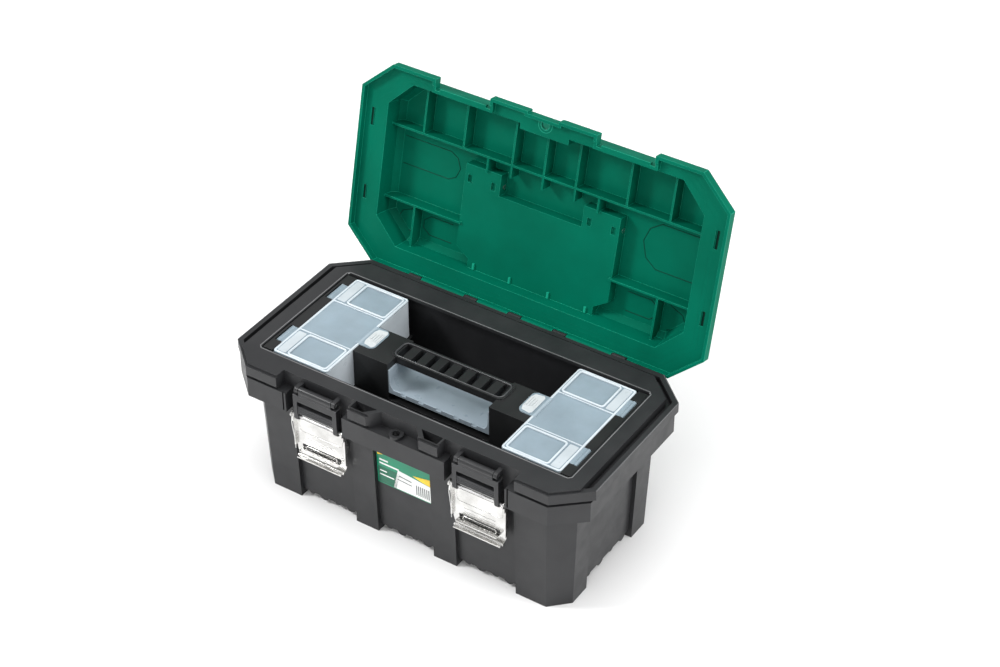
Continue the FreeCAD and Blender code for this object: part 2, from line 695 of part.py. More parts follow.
def lid_shell():
    edge = "deck_height - lid_hang"
    brim_low = "deck_height + 0.2"
    brim_high = "deck_height + 0.2 + brim_thick"
    ceiling = "deck_height + crown_height - shell"
    floor = f"{ceiling} - rib_depth"
    body = [prism("brim", lid_outline(0), edge, brim_high)]
    body += crown("crown_outer", 0, brim_low, 0)
    carve = [prism("brim_underside", lid_outline("3"), "deck_height - 10", brim_low)]
    carve += crown("crown_inner", "shell", "deck_height - 10", "shell")
    hollowed = cut("lid_hollow", fuse("lid_block", body), carve)

    scoop = ("-scoop_half_length - shell", "scoop_half_length + shell")
    inside = [
        box("scoop_block", scoop, ("crown_front", "scoop_rear + shell"), (brim_low, f"{ceiling} + 1")),
    ]
    inside += [prism("well_block", well_outline("shell"), f"{ceiling} - well_drop", f"{ceiling} + 1")]
    stop = f"{ceiling} + 1"
    half = "rib_thick / 2"
    reach = "crown_half_length - shell"
    inside.append(
        box("rib_long_front", (f"-({reach})", reach), (f"-37 - {half}", f"-37 + {half}"), (floor, stop)),
    )
    for i, x in enumerate(mirrored("well_half_length", reach)):
        inside.append(box(f"rib_long_rear_{i}", x, (f"40 - {half}", f"40 + {half}"), (floor, stop)))
    for i, x in enumerate(spans(FRONT_RIBS, half)):
        inside.append(box(f"rib_front_{i}", x, ("crown_front + 1", -37), (floor, stop)))
    for i, x in enumerate(spans((-138, 138), half)):
        inside.append(box(f"rib_rear_{i}", x, (40, "crown_rear - 1"), (floor, stop)))
    for i, x in enumerate(spans((-35.5, 0, 35.5), half)):
        inside.append(box(f"rib_stub_{i}", x, (-37, -24), (floor, stop)))
    for i, x in enumerate(spans((-62, 62), half)):
        inside.append(box(f"rib_ear_{i}", x, (-37, -21), (floor, stop)))
    envelope = fuse("lid_envelope", crown("crown_room", 0.4, brim_low, 0.4))
    inside = common("lid_inside", fuse("lid_ribs", inside), envelope)

    hinge_z = "deck_height - hinge_drop"
    fittings = []
    for side, sign in SIDES:
        middle = f"{sign} * latch_centre"
        fittings.append(
            box(
                f"catch_bar_{side}",
                (f"{middle} - 26", f"{middle} + 26"),
                (-94, "lid_notch_y + 2"),
                ("deck_height - 5", "deck_height - 0.2"),
            )
        )
    for i, (centre, half) in enumerate(KNUCKLES_LID):
        x = (centre - half, centre + half)
        fittings.append(
            box(f"lid_web_{i}", x, ("lid_rear - 2", "hinge_y"), (hinge_z, f"{hinge_z} + knuckle_radius")),
        )
        fittings.append(rod(f"lid_knuckle_{i}", "X", "knuckle_radius", *x, ("hinge_y", hinge_z)))

    holes = [
        box(
            "scoop",
            ("-scoop_half_length", "scoop_half_length"),
            (-120, "scoop_rear"),
            (brim_high, "deck_height + crown_height + 1"),
        ),
        prism("well", well_outline("0"), "deck_height + crown_height - well_drop", "deck_height + 60"),
        rod("lid_hinge_bore", "X", "hinge_rod_radius + 0.05", -130, 130, ("hinge_y", hinge_z)),
        rod(
            "lid_padlock_bore",
            "Z",
            "padlock_radius",
            "deck_height",
            "deck_height + 9",
            (0, "padlock_y"),
        ),
    ]
    for i, x in enumerate(spans(KNUCKLES_BASE, "knuckle_width / 2 + 0.6")):
        holes.append(box(f"lid_gap_{i}", x, (101, 114), ("deck_height - 14", f"{hinge_z} + 4.9")))
    for i, x in enumerate(mirrored(54, 125)):
        holes.append(box(f"lid_front_gap_{i}", x, (-96, -84), ("deck_height - 14", "deck_height - 5")))
    for i, x in enumerate(mirrored(189, 193)):
        holes.append(box(f"brim_slot_front_{i}", x, (-51, -32), ("deck_height - 1", "deck_height + 1.6")))
        holes.append(box(f"brim_slot_rear_{i}", x, (31, 46), ("deck_height - 1", "deck_height + 1.6")))
    pivot = ("handle_pivot_y", "deck_height + crown_height - 6.5")
    for i, x in enumerate(mirrored(45.5, 87.5)):
        holes.append(rod(f"handle_bore_{i}", "X", "handle_pin_radius + 0.02", *x, pivot))
    for i, x in enumerate(mirrored(51.5, 56.5) + mirrored(78, 83)):
        holes.append(
            box(
                f"clip_slot_{i}",
                x,
                ("handle_pivot_y - 4", "handle_pivot_y + 4"),
                (f"{floor} - 3", f"{floor} + 5"),
            )
        )
    shell = cut("lid_body", fuse("lid_full", [hollowed, inside, *fittings]), holes)
    node("lid_shell", shell)
    return [shell]


def carry_handle():
    """A flat bail: two arms, a rounded grip and steel pins, folded flat in the lid's well."""
    pivot = ("handle_pivot_y", "deck_height + crown_height - 6.5")
    z = (f"{pivot[1]} - 5", f"{pivot[1]} + 5")
    grip = box(
        "bail_grip",
        ("-handle_half_width", "handle_half_width"),
        ("handle_reach - 24", "handle_reach"),
        z,
    )
    grip = rounded("bail_grip_soft", grip, 4.5, lambda edge: edge.BoundBox.XLength > 50)
    arms = []
    for i, x in enumerate(mirrored(57, "handle_half_width")):
        arms.append(
            box(
                f"bail_arm_{i}",
                x,
                ("handle_pivot_y", "handle_reach - 10"),
                (f"{pivot[1]} - 4.2", f"{pivot[1]} + 4.2"),
            ),
        )
        arms.append(rod(f"bail_eye_{i}", "X", 5.2, *x, pivot))
    bores = [
        rod(f"bail_bore_{i}", "X", "handle_pin_radius + 0.06", *x, pivot)
        for i, x in enumerate(mirrored(50, 84))
    ]
    handle = cut("bail", fuse("bail_body", [grip, *arms]), bores)
    node("carry_handle", handle)
    pins = []
    for (side, _), x in zip(reversed(SIDES), mirrored(46, 87)):
        pin = doc.addObject("Part::Compound", f"bail_pin_{side}")
        pin.Links = [rod(f"bail_pin_rod_{side}", "X", "handle_pin_radius", *x, pivot)]
        pins.append(node(f"handle_pin_{side}", pin))
    return handle, pins


def hinge_rod():
    node(
        "hinge_rod",
        rod("lid_rod", "X", "hinge_rod_radius", -126, 126, ("hinge_y", "deck_height - hinge_drop")),
    )


# ---- tray ----
def tray_carrier():
    top = "deck_height - 1"
    low = "deck_height - tray_bottom_drop"
    parts = []
    for i, x in enumerate(mirrored("post_inner", "bin_inner - 0.1")):
        parts.append(box(f"tray_post_{i}", x, (-26, 17), (low, "deck_height - 1.8")))
    parts.append(box("tray_sole", ("-post_inner", "post_inner"), (-26, 17), (low, f"{low} + 2.5")))
    hollow = []
    for i, x in enumerate(mirrored("post_inner + 2.2", "bin_inner - 2.3")):
        hollow.append(box(f"post_hollow_{i}", x, (-23.8, 14.8), (f"{low} - 1", "deck_height - 4")))
    body = cut("tray_posts", fuse("tray_post_block", parts), hollow)
    grip = box(
        "grip_bar",
        ("-grip_half_length", "grip_half_length"),
        ("-grip_half_depth", "grip_half_depth"),
        ("deck_height - 8", "deck_height - 1.2"),
    )
    grip = rounded("grip_soft", grip, 6, lambda edge: edge.BoundBox.ZLength > 5)
    rim = box(
        "grip_rim",
        ("-grip_half_length", "grip_half_length"),
        ("-grip_half_depth", "grip_half_depth"),
        ("deck_height - 1.3", "deck_height - 0.3"),
    )
    rim = rounded("grip_rim_soft", rim, 6, lambda edge: edge.BoundBox.ZLength > 0.9)
    rim_hole = box(
        "grip_rim_hole",
        ("-grip_half_length + 1.6", "grip_half_length - 1.6"),
        ("-grip_half_depth + 1.6", "grip_half_depth - 1.6"),
        ("deck_height - 1.2", "deck_height + 1"),
    )
    rim_hole = rounded("grip_rim_hole_soft", rim_hole, 4.6, lambda edge: edge.BoundBox.ZLength > 2)
    slots = []
    for i in range(8):
        x = f"{i - 3.5} * grip_slot_pitch"
        slots.append(
            box(f"grip_slot_{i}", (f"{x} - 3.2", f"{x} + 3.2"), (-9.8, 9.8), ("deck_height - 9", top))
        )
    ends = []
    for side, sign in SIDES:
        ends += end_frame(side, sign)
    joined = fuse("tray_body", [body, grip, rim, *ends])
    node("tray_carrier", cut("tray", joined, [rim_hole, *slots]))


def end_frame(side, sign):
    """A bin's floor, its end wall and the end plate, with two notches bridged by a hinge bar."""

    def across(low, high):
        return (low, high) if sign > 0 else (f"-({high})", f"-({low})")

    depth = ("-bin_half_depth", "bin_half_depth")
    low, floor = "deck_height - tray_bottom_drop", "deck_height - bin_drop"
    plate = fuse(
        f"end_solid_{side}",
        [
            box(f"bin_floor_{side}", across("bin_inner - 2.3", "bin_outer + 2.2"), depth, (low, floor)),
            box(
                f"end_wall_{side}",
                across("bin_outer + 0.2", "bin_outer + 2.2"),
                depth,
                (low, "deck_height - 2"),
            ),
            box(
                f"end_plate_{side}",
                across("bin_outer + 0.2", "frame_outer"),
                depth,
                ("deck_height - ledge_drop", "deck_height - 1"),
            ),
        ],
    )
    notches = [
        box(
            f"end_notch_{side}_{i}",
            across("bin_outer - 1", "bin_hinge_x + 3.4"),
            (y - 13, y + 13),
            ("deck_height - 7", "deck_height"),
        )
        for i, y in enumerate((-40, 40))
    ]
    bar = (f"{sign} * bin_hinge_x", "deck_height - bin_hinge_drop")
    bars = [
        rod(f"end_bar_{side}_{i}", "Y", "bin_bar_radius", y - 13.5, y + 13.5, bar)
        for i, y in enumerate((-40, 40))
    ]
    return [cut(f"end_cut_{side}", plate, notches), *bars]


def tray_bin(side, sign):
    """A clear bin with three compartments."""

    def across(low, high):
        return (low, high) if sign > 0 else (f"-({high})", f"-({low})")

    low, high = "deck_height - bin_drop", "deck_height - 3"
    block = box(
        f"bin_block_{side}",
        across("bin_inner", "bin_outer"),
        ("-bin_half_depth", "bin_half_depth"),
        (low, high),
    )
    block = rounded(
        f"bin_soft_{side}", block, 4, lambda edge: edge.BoundBox.ZLength > 20
    )
    walls = ("-bin_half_depth", "-27", "25", "bin_half_depth")
    rooms = []
    for i in range(3):
        room = box(
            f"bin_room_{side}_{i}",
            across("bin_inner + bin_wall", "bin_outer - bin_wall"),
            (f"{walls[i]} + bin_wall", f"{walls[i + 1]} - bin_wall / 2"),
            (f"{low} + bin_wall", "deck_height"),
        )
        rooms.append(room)
    node(f"bin_{side}", cut(f"bin_cut_{side}", block, rooms))


def bin_lid(side, sign):
    """A clear flap: a ribbed leaf, two hinge barrels on its outer edge and a finger tab."""

    def across(low, high):
        return (low, high) if sign > 0 else (f"-({high})", f"-({low})")

    z = ("deck_height - 2.8", "deck_height - 1.2")
    leaf = box(
        f"leaf_{side}",
        across("bin_inner + 0.2", "bin_outer - 0.6"),
        ("-bin_half_depth + 0.3", "bin_half_depth - 0.3"),
        z,
    )
    leaf = rounded(f"leaf_soft_{side}", leaf, 3, lambda edge: edge.BoundBox.ZLength > 1)
    parts = [leaf]
    bar = (f"{sign} * bin_hinge_x", "deck_height - bin_hinge_drop")
    for i, y in enumerate((-40, 40)):
        span = (f"{y} - 12.5", f"{y} + 12.5")
        parts.append(rod(f"leaf_barrel_{side}_{i}", "Y", "bin_barrel_radius", *span, bar))
        parts.append(
            box(
                f"leaf_web_{side}_{i}",
                across("bin_outer - 3", "bin_hinge_x - 1.2"),
                span,
                ("deck_height - 2.8", "deck_height - 0.9"),
            )
        )
    tab = box(
        f"leaf_tab_{side}",
        across("bin_inner - 16", "bin_inner + 4"),
        (-16, 15),
        ("deck_height - 1.6", "deck_height - 0.4"),
    )
    tab = rounded(
        f"leaf_tab_soft_{side}",
        tab,
        6,
        lambda edge: edge.BoundBox.ZLength > 1 and abs(edge.BoundBox.Center.x) < 90,
    )
    parts.append(tab)
    frames = []
    for i, (low, high) in enumerate(((-66.5, -27), (26, 66.5))):
        outer = box(
            f"leaf_rim_{side}_{i}",
            across("bin_inner + 1.5", "bin_outer - 14"),
            (low, high),
            ("deck_height - 1.3", "deck_height - 0.7"),
        )
        outer = rounded(f"leaf_rim_soft_{side}_{i}", outer, 5, lambda edge: edge.BoundBox.ZLength > 0.5)
        inner = box(
            f"leaf_pan_{side}_{i}",
            across("bin_inner + 2.9", "bin_outer - 15.4"),
            (low + 1.4, high - 1.4),
            ("deck_height - 1.8", "deck_height"),
        )
        inner = rounded(f"leaf_pan_soft_{side}_{i}", inner, 3.6, lambda edge: edge.BoundBox.ZLength > 1)
        parts.append(outer)
        frames.append(inner)
    bores = [
        rod(f"leaf_bore_{side}_{i}", "Y", "bin_bar_radius + 0.08", f"{y} - 14", f"{y} + 14", bar)
        for i, y in enumerate((-40, 40))
    ]
    node(f"bin_lid_{side}", cut(f"leaf_cut_{side}", fuse(f"leaf_body_{side}", parts), [*frames, *bores]))


def centre_trough():
    """The clear parts trough that hangs between the tray posts under the grip."""
    x = ("-post_inner + 0.1", "post_inner - 0.1")
    low = "deck_height - trough_drop - 1.6"
    block = box("trough_block", x, (-25.5, 16.5), (low, "deck_height - 9"))
    room = box(
        "trough_room",
        ("-post_inner + 1.7", "post_inner - 1.7"),
        (-40, 30),
        ("deck_height - trough_drop", "deck_height"),
    )
    room = rounded(
        "trough_room_soft",
        room,
        12,
        lambda edge: edge.BoundBox.YLength > 50 and edge.BoundBox.ZMax < room_limit,
    )
    lips = []
    for i, y in enumerate((-25.5, 14.9)):
        lips.append(box(f"trough_lip_{i}", x, (y, y + 1.6), (low, "deck_height - trough_drop + 3")))
    notches = [
        box(
            f"trough_notch_{i}",
            (c - 3, c + 3),
            (-27, -23),
            ("deck_height - trough_drop + 0.6", "deck_height - 20"),
        )
        for i, c in enumerate((-40, -20, 0, 20, 40))
    ]
    body = fuse("trough_body", [cut("trough_cut", block, [room]), *lips])
    node("centre_trough", cut("trough", body, notches))


room_limit = sheet.evalExpression("dims.deck_height") - 25

base_shell()
front_label()
hinge_rod()
for side, sign in SIDES:
    latch(side, sign)
lid_parts = lid_shell()
handle, handle_pins = carry_handle()
tray_carrier()
for side, sign in SIDES:
    tray_bin(side, sign)
    bin_lid(side, sign)
centre_trough()
doc.recompute()

# ---- swing the lid open, and let the carry handle hang from it ----
value = {alias: sheet.evalExpression("dims." + alias) for alias, _, _ in DIMENSIONS}
hinge = FreeCAD.Vector(0, value["hinge_y"], value["deck_height"] - value["hinge_drop"])
pivot = FreeCAD.Vector(0, value["handle_pivot_y"], value["deck_height"] + value["crown_height"] - 6.5)
along = FreeCAD.Vector(1, 0, 0)
still = FreeCAD.Vector(0, 0, 0)
opened = FreeCAD.Placement(still, FreeCAD.Rotation(along, -value["lid_open_angle"]), hinge)
hanging = FreeCAD.Placement(still, FreeCAD.Rotation(along, value["handle_hang_angle"]), pivot)
for part in lid_parts:
    part.Placement = opened
for part in handle_pins:
    part.Placement = opened
handle.Placement = opened.multiply(hanging)
doc.recompute()

# ---- check every object, then write one file for each piece ----
for thing in doc.Objects:
    if "Invalid" in thing.State or "Error" in thing.State:
        raise RuntimeError(f"{thing.Name} did not build: {thing.State}")
for part in nodes:
    if part.Shape.isNull() or not part.Shape.isValid() or not part.Shape.Solids:
        raise RuntimeError(f"{part.Label} has no valid solid")
os.makedirs("parts", exist_ok=True)
for part in nodes:
    part.Shape.exportStep(f"parts/{part.Label}.step")
    size = part.Shape.BoundBox
    spans_of_part = ", ".join(
        f"{axis} {low:.1f}..{high:.1f}"
        for axis, low, high in (
            ("x", size.XMin, size.XMax),
            ("y", size.YMin, size.YMax),
            ("z", size.ZMin, size.ZMax),
        )
    )
    print(f"{part.Label}: {part.Shape.Volume:.0f} mm3, {spans_of_part}")
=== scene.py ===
import bpy
import bmesh
import json
import math
from mathutils import Matrix, Vector


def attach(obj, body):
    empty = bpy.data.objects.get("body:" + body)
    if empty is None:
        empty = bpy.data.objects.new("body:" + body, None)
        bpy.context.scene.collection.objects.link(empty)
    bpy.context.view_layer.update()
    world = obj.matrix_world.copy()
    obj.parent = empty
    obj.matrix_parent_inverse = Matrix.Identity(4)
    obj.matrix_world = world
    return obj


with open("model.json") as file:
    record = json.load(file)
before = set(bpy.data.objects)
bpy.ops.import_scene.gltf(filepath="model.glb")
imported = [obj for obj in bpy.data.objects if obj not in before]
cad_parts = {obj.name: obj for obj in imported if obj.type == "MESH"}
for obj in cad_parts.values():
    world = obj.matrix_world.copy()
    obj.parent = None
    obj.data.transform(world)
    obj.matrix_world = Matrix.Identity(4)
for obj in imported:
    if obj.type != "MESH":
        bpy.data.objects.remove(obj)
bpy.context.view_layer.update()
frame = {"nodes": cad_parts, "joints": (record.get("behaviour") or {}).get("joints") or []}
nodes = frame["nodes"]
joints = {joint["name"]: joint for joint in frame["joints"]}
MM = 0.001


# ---------------------------------------------------------------- shader helpers
def new_material(name):
    material = bpy.data.materials.new(name)
    material.use_nodes = True
    tree = material.node_tree
    shader = tree.nodes["Principled BSDF"]
    return material, tree, shader


def add(tree, kind, **settings):
    node = tree.nodes.new(kind)
    for key, value in settings.items():
        if key in node.inputs:
            node.inputs[key].default_value = value
        else:
            setattr(node, key, value)
    return node


def noise(tree, scale, detail=3.0, stretch=(1, 1, 1)):
    """A noise in the object's own metres; scale is features per metre."""
    where = add(tree, "ShaderNodeTexCoord")
    mapping = add(tree, "ShaderNodeMapping")
    mapping.inputs["Scale"].default_value = stretch
    texture = add(tree, "ShaderNodeTexNoise", Scale=scale, Detail=detail)
    tree.links.new(where.outputs["Object"], mapping.inputs["Vector"])
    tree.links.new(mapping.outputs["Vector"], texture.inputs["Vector"])
    return texture.outputs["Fac"]


def ramp(tree, source, low, high, start=0.3, end=0.7):
    """A colour ramp or, given two numbers, a value ramp."""
    if isinstance(low, (int, float)):
        blend = add(tree, "ShaderNodeMapRange")
        limits = {"From Min": start, "From Max": end, "To Min": low, "To Max": high}
        for key, value in limits.items():
            blend.inputs[key].default_value = value
        tree.links.new(source, blend.inputs["Value"])
        return blend.outputs["Result"]
    blend = add(tree, "ShaderNodeValToRGB")
    blend.color_ramp.elements[0].position = start
    blend.color_ramp.elements[0].color = (*low, 1)
    blend.color_ramp.elements[1].position = end
    blend.color_ramp.elements[1].color = (*high, 1)
    tree.links.new(source, blend.inputs["Fac"])
    return blend.outputs["Color"]


def bump(tree, shader, layers):
    """Stacked bumps; each layer is (height source, strength, distance in metres)."""
    below = None
    for height, strength, distance in layers:
        node = add(tree, "ShaderNodeBump", Strength=strength, Distance=distance)
        tree.links.new(height, node.inputs["Height"])
        if below:
            tree.links.new(below, node.inputs["Normal"])
        below = node.outputs["Normal"]
    tree.links.new(below, shader.inputs["Normal"])


def moulded_plastic(name, dark, light, roughness, grain=2600, grain_depth=0.00003, specular=0.5):
    """Injection-moulded plastic: a fine grain, slow colour drift and uneven gloss."""
    material, tree, shader = new_material(name)
    drift = noise(tree, 18, 4)
    tree.links.new(ramp(tree, drift, dark, light), shader.inputs["Base Color"])
    gloss = noise(tree, 60, 5)
    unevenness = ramp(tree, gloss, roughness - 0.05, roughness + 0.07)
    tree.links.new(unevenness, shader.inputs["Roughness"])
    shader.inputs["Specular IOR Level"].default_value = specular
    waviness = noise(tree, 9, 2)
    texture = noise(tree, grain, 2)
    bump(tree, shader, [(waviness, 0.25, 0.0006), (texture, 0.35, grain_depth)])
    return material


def clear_plastic(name, tint, alpha, roughness):
    """Frosted clear polypropylene: milky, with flow marks and a soft gloss."""
    material, tree, shader = new_material(name)
    cloud = noise(tree, 30, 4)
    paler = tuple(min(1.0, channel * 1.06) for channel in tint)
    tree.links.new(ramp(tree, cloud, tint, paler), shader.inputs["Base Color"])
    tree.links.new(ramp(tree, cloud, alpha - 0.05, alpha + 0.05), shader.inputs["Alpha"])
    tree.links.new(
        ramp(tree, noise(tree, 90, 3), roughness - 0.04, roughness + 0.06),
        shader.inputs["Roughness"],
    )
    shader.inputs["IOR"].default_value = 1.49
    shader.inputs["Subsurface Weight"].default_value = 0.15
    shader.inputs["Subsurface Radius"].default_value = (0.004, 0.004, 0.004)
    flow_marks = noise(tree, 25, 2, (1, 3, 1))
    grain = noise(tree, 1800, 2)
    bump(tree, shader, [(flow_marks, 0.3, 0.0003), (grain, 0.2, 0.00002)])
    return material


def bright_metal(name, dark, light, roughness, stretch=(1, 1, 14), dent=0.0004):
    """Plated sheet or wire: directional polish, cloudy tarnish and slight dents."""
    material, tree, shader = new_material(name)
    tarnish = noise(tree, 70, 5)
    tree.links.new(ramp(tree, tarnish, dark, light, 0.35, 0.6), shader.inputs["Base Color"])
    shader.inputs["Metallic"].default_value = 1.0
    polish = noise(tree, 500, 3, stretch)
    gloss = ramp(tree, polish, roughness - 0.05, roughness + 0.08)
    tree.links.new(gloss, shader.inputs["Roughness"])
    bump(tree, shader, [(noise(tree, 35, 2), 0.5, dent), (polish, 0.12, 0.00004)])
    return material


black_tub = moulded_plastic(
    "black_tub", (0.014, 0.0145, 0.016), (0.022, 0.0225, 0.024), 0.42, specular=0.38
)
# A lighter copy of the tub's black, painted on its rounded edges and rim line as a highlight.
black_tub_highlight = moulded_plastic(
    "black_tub_highlight", (0.075, 0.077, 0.08), (0.10, 0.102, 0.106), 0.32
)
black_tray = moulded_plastic(
    "black_tray", (0.009, 0.0095, 0.010), (0.015, 0.0155, 0.016), 0.40, specular=0.32
)
black_latch = moulded_plastic(
    "black_latch", (0.014, 0.0145, 0.016), (0.020, 0.0205, 0.022), 0.36, specular=0.4
)
black_handle = moulded_plastic(
    "black_handle", (0.018, 0.019, 0.020), (0.026, 0.027, 0.029), 0.45, 1600
)
# Pale grey painted as the highlight along the tub's mouth bead.
mouth_highlight = moulded_plastic("mouth_highlight", (0.13, 0.13, 0.135), (0.19, 0.19, 0.195), 0.28)
# A lighter copy of the black plastics, painted on rounded edges and the grip bead as a highlight.
black_edge_highlight = moulded_plastic("black_edge_highlight", (0.035, 0.036, 0.039), (0.05, 0.052, 0.055), 0.34)
green_lid = moulded_plastic(
    "green_lid", (0.000, 0.105, 0.062), (0.000, 0.135, 0.081), 0.48, specular=0.04
)
# A lighter copy of the lid's green, painted on its rounded edges, beads, gussets and panel
# outlines as a highlight.
green_edge_highlight = moulded_plastic(
    "green_edge_highlight", (0.003, 0.26, 0.165), (0.008, 0.33, 0.21), 0.36, specular=0.25
)
bin_plastic = clear_plastic("bin_plastic", (0.54, 0.59, 0.63), 0.80, 0.30)
# A darker copy of the lid's green, painted along the moulding lines inside the crown as shade.
green_line_shade = moulded_plastic(
    "green_line_shade", (0.0, 0.045, 0.028), (0.0, 0.06, 0.037), 0.5, specular=0.1
)
green_shadow = moulded_plastic(
    "green_shadow", (0.0, 0.016, 0.010), (0.0, 0.024, 0.015), 0.6, specular=0.1
)
# A paler copy of the bin plastic, painted on the bins' rounded edges as a highlight.
bin_edge_highlight = clear_plastic("bin_edge_highlight", (0.80, 0.84, 0.87), 0.95, 0.22)
flap_plastic = clear_plastic("flap_plastic", (0.33, 0.42, 0.48), 0.50, 0.18)
# A paler copy of the flap plastic, painted on the flaps' edges, dividers and frames as a
# highlight.
flap_edge_highlight = clear_plastic("flap_edge_highlight", (0.60, 0.66, 0.70), 0.82, 0.22)
flap_frost = clear_plastic("flap_frost", (0.60, 0.65, 0.68), 0.62, 0.30)
tab_plastic = clear_plastic("tab_plastic", (0.50, 0.53, 0.54), 0.96, 0.25)
trough_plastic = clear_plastic("trough_plastic", (0.30, 0.36, 0.41), 0.94, 0.30)
# A paler copy of the trough plastic, painted on the trough's rounded edges as a highlight.
trough_edge_highlight = clear_plastic("trough_edge_highlight", (0.60, 0.66, 0.70), 0.96, 0.24)
plated_steel = bright_metal("plated_steel", (0.56, 0.555, 0.54), (0.72, 0.715, 0.70), 0.22)
pin_steel = bright_metal(
    "pin_steel", (0.50, 0.50, 0.50), (0.68, 0.68, 0.67), 0.30, (14, 1, 1), 0.00005
)

FINISHES = {
    "base_shell": black_tub,
    "lid_shell": green_lid,
    "carry_handle": black_handle,
    "tray_carrier": black_tray,
    "centre_trough": trough_plastic,
    "hinge_rod": black_latch,
}
for side in ("left", "right"):
    FINISHES[f"latch_link_{side}"] = black_latch
    FINISHES[f"latch_plate_{side}"] = plated_steel
    FINISHES[f"latch_pin_upper_{side}"] = pin_steel
    FINISHES[f"latch_pin_lower_{side}"] = pin_steel
    FINISHES[f"handle_pin_{side}"] = pin_steel
    FINISHES[f"bin_{side}"] = bin_plastic
    FINISHES[f"bin_lid_{side}"] = flap_plastic


def paper_label():
    """The label's own green field, slightly glossy."""
    material, tree, shader = new_material("label_green")
    print_colour = ramp(tree, noise(tree, 40, 3), (0.0, 0.20, 0.10), (0.0, 0.25, 0.13))
    tree.links.new(print_colour, shader.inputs["Base Color"])
    shader.inputs["Roughness"].default_value = 0.3
    bump(tree, shader, [(noise(tree, 200, 3), 0.1, 0.00005)])
    return material


def flat_print(name, dark, light, roughness=0.4):
    """Printed ink: one colour with a little mottle."""
    material, tree, shader = new_material(name)
    tree.links.new(ramp(tree, noise(tree, 300, 4), dark, light), shader.inputs["Base Color"])
    gloss = ramp(tree, noise(tree, 90, 3), roughness - 0.08, roughness + 0.08)
    tree.links.new(gloss, shader.inputs["Roughness"])
    return material


label_yellow = flat_print("label_yellow", (0.85, 0.55, 0.02), (0.92, 0.63, 0.04))
label_white = flat_print("label_white", (0.74, 0.76, 0.75), (0.82, 0.83, 0.82))
label_ink = flat_print("label_ink", (0.10, 0.11, 0.11), (0.15, 0.16, 0.16))
label_green_dark = flat_print("label_green_dark", (0.0, 0.10, 0.05), (0.0, 0.13, 0.07))

FINISHES["front_label"] = paper_label()


WELD_DISTANCE = 0.00001


def soften(thing, width, angle=28, painted_highlight=None):
    """Moulded edges: merge the split corners, round them and keep flat faces flat. A lighter
    material, if given, is painted on the rounds as a highlight.
    """
    weld = thing.modifiers.new("weld", "WELD")
    weld.merge_threshold = WELD_DISTANCE
    edge = thing.modifiers.new("edge", "BEVEL")
    edge.width = width
    edge.segments = 2
    edge.limit_method = "ANGLE"
    edge.angle_limit = math.radians(angle)
    edge.use_clamp_overlap = True
    edge.harden_normals = False
    if painted_highlight:
        thing.data.materials.append(painted_highlight)
        edge.material = 1
    flat = thing.modifiers.new("flat", "WEIGHTED_NORMAL")
    flat.keep_sharp = True


# Bevel widths in millimetres, and the lighter material painted on each bevel as a highlight.
EDGES = {
    "base_shell": 1.0,
    "lid_shell": 0.6,
    "carry_handle": 0.8,
    "tray_carrier": 0.5,
    "centre_trough": 0.4,
}
EDGE_HIGHLIGHTS = {
    "base_shell": black_tub_highlight,
    "lid_shell": green_edge_highlight,
    "carry_handle": black_edge_highlight,
    "tray_carrier": black_edge_highlight,
    "centre_trough": trough_edge_highlight,
}
for side in ("left", "right"):
    EDGES[f"bin_{side}"] = 0.4
    EDGES[f"bin_lid_{side}"] = 0.25
    EDGES[f"latch_link_{side}"] = 0.5
    EDGES[f"latch_plate_{side}"] = 0.35
    EDGE_HIGHLIGHTS[f"bin_{side}"] = bin_edge_highlight
    EDGE_HIGHLIGHTS[f"bin_lid_{side}"] = flap_edge_highlight
    EDGE_HIGHLIGHTS[f"latch_link_{side}"] = black_edge_highlight

for name, material in FINISHES.items():
    thing = nodes[name]
    thing.data.materials.clear()
    thing.data.materials.append(material)
    if name in EDGES:
        soften(thing, EDGES[name] * MM, painted_highlight=EDGE_HIGHLIGHTS.get(name))


# ---------------------------------------------------------------- how details sit on moving bodies
# Details are drawn in millimetres with the box shut, then turned to the open rest pose.
DECK = 156.0  # the tub's rim
CEILING = 181.4  # the crown's inside
CROWN_TOP = 184.0
HINGE = Vector(joints["lid_hinge"]["pos_m"])
PIVOT_CLOSED = Vector((0, -8, 177.5)) * MM  # the carry handle's pins with the lid shut
LID_OPENING = math.radians(-103)
HANDLE_SWING = math.radians(13)


def turned(pivot, angle):
    """A turn about X through a point."""
    return Matrix.Translation(pivot) @ Matrix.Rotation(angle, 4, "X") @ Matrix.Translation(-pivot)


OPENED = turned(HINGE, LID_OPENING)
SWUNG = turned(PIVOT_CLOSED, HANDLE_SWING)
POSES = {"lid": OPENED, "carry_handle": OPENED @ SWUNG}


def settle(thing, material, body):
    """Finish a piece drawn shut and in millimetres: scale, turn, colour and attach it."""
    thing.data.transform(POSES.get(body, Matrix.Identity(4)) @ Matrix.Scale(MM, 4))
    thing.data.materials.append(material)
    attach(thing, body)
    return thing


def tube(name, path, radius, material, slot, body, closed=False):
    """A round bead along a path of points."""
    curve = bpy.data.curves.new(name, "CURVE")
    curve.dimensions = "3D"
    curve.bevel_depth = radius
    curve.bevel_resolution = 3
    curve.use_fill_caps = True
    line = curve.splines.new("POLY")
    line.points.add(len(path) - 1)
    for point, place in zip(line.points, path):
        point.co = (*place, 1)
    line.use_cyclic_u = closed
    drawn = bpy.data.objects.new(name + "_path", curve)
    bpy.context.collection.objects.link(drawn)
    bpy.context.view_layer.update()
    depsgraph = bpy.context.evaluated_depsgraph_get()
    mesh = bpy.data.meshes.new_from_object(drawn.evaluated_get(depsgraph))
    bpy.data.objects.remove(drawn)
    mesh.materials.clear()
    mesh.shade_smooth()
    thing = bpy.data.objects.new(name, mesh)
    bpy.context.collection.objects.link(thing)
    return settle(thing, material, body)


